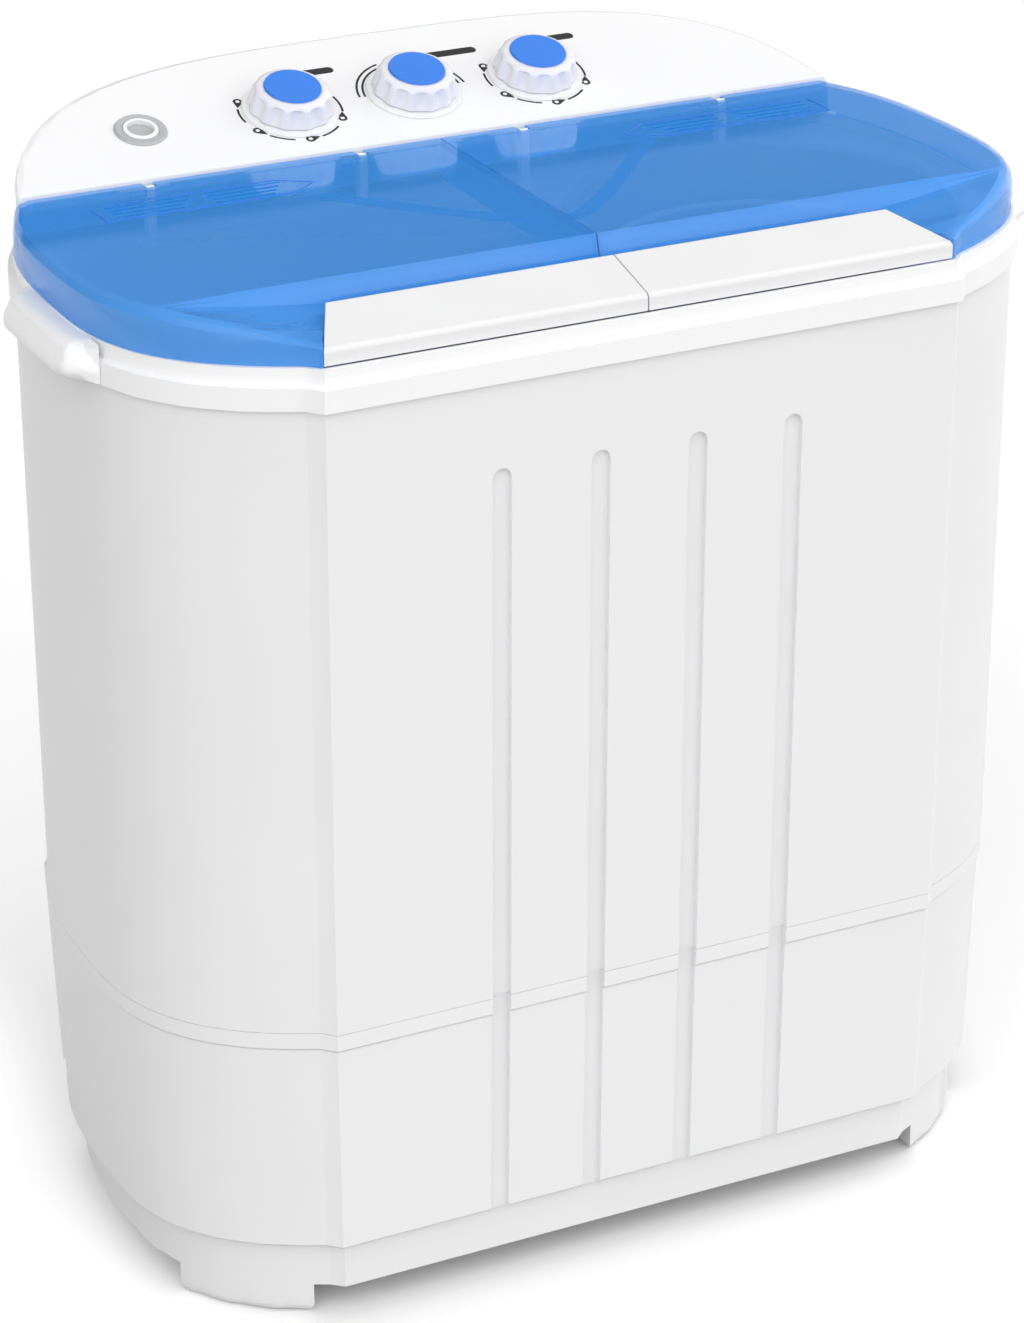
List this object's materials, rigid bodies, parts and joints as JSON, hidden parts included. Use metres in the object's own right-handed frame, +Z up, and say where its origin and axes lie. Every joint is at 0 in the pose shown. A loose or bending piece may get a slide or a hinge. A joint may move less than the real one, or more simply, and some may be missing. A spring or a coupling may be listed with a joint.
{
  "type": "twin tub washer",
  "caption": "small free-standing twin tub washing machine with a wash tub, a spin tub, translucent hinged lids and a sloping control panel with rotary knobs",
  "frame": {"origin": "on the floor under the middle of the bounding box", "axes": "+Z up, -Y out of the front panel, +X to the spin tub side"},
  "size_m": [0.604, 0.381, 0.647],
  "materials": {
    "white_shell": "moulded white polypropylene, soft gloss",
    "white_trim": "moulded white ABS, soft gloss",
    "white_tub": "moulded white polypropylene, satin",
    "blue_lid": "clear blue polystyrene, polished",
    "blue_cap": "blue ABS, soft gloss",
    "grey_trim": "grey ABS",
    "black_plastic": "black nylon",
    "black_rubber": "moulded rubber",
    "steel": "zinc plated steel",
    "motor_steel": "pressed steel motor can",
    "aluminium": "die cast",
    "cast_iron": "turned",
    "bronze": "sintered bush in its housing"
  },
  "bodies": {
    "cabinet": {"cabinet": "white_shell", "base": "white_shell", "top_frame": "white_shell", "control_panel": "white_shell", "rear_cover": "white_shell", "wash_tub": "white_tub", "spin_tub": "white_tub", "overflow_cover": "grey_trim", "hinge_pin_1": "steel", "hinge_pin_2": "steel", "hinge_pin_3": "steel", "hinge_pin_4": "steel", "wash_bearing": "bronze", "drive_belt": "black_rubber", "wash_motor": "motor_steel", "spin_seal": "black_rubber", "spin_motor": "motor_steel", "spin_mount_1": "black_rubber", "spin_mount_2": "black_rubber", "spin_mount_3": "black_rubber", "brake_post": "steel", "capacitor": "aluminium", "mains_gland": "black_plastic", "drain_valve_body": "grey_trim", "inlet_ring": "grey_trim", "inlet_tube": "white_trim", "inlet_filter": "grey_trim", "wash_timer_base_ring": "white_trim", "wash_timer_switch": "black_plastic", "drain_selector_base_ring": "white_trim", "drain_selector_switch": "black_plastic", "spin_timer_base_ring": "white_trim", "spin_timer_switch": "black_plastic"},
    "wash_lid": {"wash_lid": "blue_lid", "wash_lid_grip": "white_trim"},
    "spin_lid": {"spin_lid": "blue_lid", "spin_lid_grip": "white_trim"},
    "wash_timer": {"wash_timer_knob": "white_trim", "wash_timer_cap": "blue_cap", "wash_timer_spindle": "steel"},
    "drain_selector": {"drain_selector_knob": "white_trim", "drain_selector_cap": "blue_cap", "drain_selector_spindle": "steel"},
    "spin_timer": {"spin_timer_knob": "white_trim", "spin_timer_cap": "blue_cap", "spin_timer_spindle": "steel"},
    "drain_valve": {"drain_plug": "black_rubber", "drain_rod": "steel"},
    "agitator": {"pulsator": "white_tub", "pulsator_screw": "steel", "wash_shaft": "steel", "wash_pulley": "black_plastic"},
    "wash_rotor": {"motor_pulley": "aluminium"},
    "spin_rotor": {"spin_basket": "white_tub", "spin_shaft": "steel", "brake_drum": "cast_iron"},
    "brake": {"brake_lever": "steel"}
  },
  "joints": [
    {"name": "wash_lid_hinge", "type": "hinge", "parent": "cabinet", "child": "wash_lid", "pos_m": [-0.1175, 0.0745, 0.607], "axis": [-1, 0, 0], "range_deg": [0, 95]},
    {"name": "spin_lid_hinge", "type": "hinge", "parent": "cabinet", "child": "spin_lid", "pos_m": [0.1175, 0.0745, 0.607], "axis": [-1, 0, 0], "range_deg": [0, 95]},
    {"name": "wash_timer_turn", "type": "hinge", "parent": "cabinet", "child": "wash_timer", "pos_m": [-0.0755, 0.1235, 0.62584], "axis": [0, 0.2924, -0.9563], "range_deg": [0, 320]},
    {"name": "drain_selector_turn", "type": "hinge", "parent": "cabinet", "child": "drain_selector", "pos_m": [0.004, 0.1235, 0.62584], "axis": [0, 0.2924, -0.9563], "range_deg": [0, 90]},
    {"name": "spin_timer_turn", "type": "hinge", "parent": "cabinet", "child": "spin_timer", "pos_m": [0.0835, 0.1235, 0.62584], "axis": [0, 0.2924, -0.9563], "range_deg": [0, 320]},
    {"name": "drain_valve_lift", "type": "slide", "parent": "cabinet", "child": "drain_valve", "axis": [0, 0, 1], "range_m": [0, 0.012]},
    {"name": "pulsator_spin", "type": "hinge", "parent": "cabinet", "child": "agitator", "pos_m": [-0.128, -0.045, 0.25], "axis": [0, 0, 1], "continuous": true},
    {"name": "wash_rotor_spin", "type": "hinge", "parent": "cabinet", "child": "wash_rotor", "pos_m": [-0.004, -0.045, 0.178], "axis": [0, 0, 1], "continuous": true},
    {"name": "spin_basket_spin", "type": "hinge", "parent": "cabinet", "child": "spin_rotor", "pos_m": [0.15, -0.045, 0.27], "axis": [0, 0, 1], "continuous": true},
    {"name": "brake_lever_swing", "type": "hinge", "parent": "cabinet", "child": "brake", "pos_m": [0.202, -0.105, 0.186], "axis": [0, 0, 1], "range_deg": [0, 1.9]}
  ],
  "couplings": [
    {"joint": "drain_valve_lift", "follows": "drain_selector_turn", "m_per_rad": 0.0076394},
    {"joint": "wash_rotor_spin", "follows": "pulsator_spin", "ratio": 3.3},
    {"joint": "brake_lever_swing", "follows": "spin_lid_hinge", "ratio": 0.02}
  ]
}
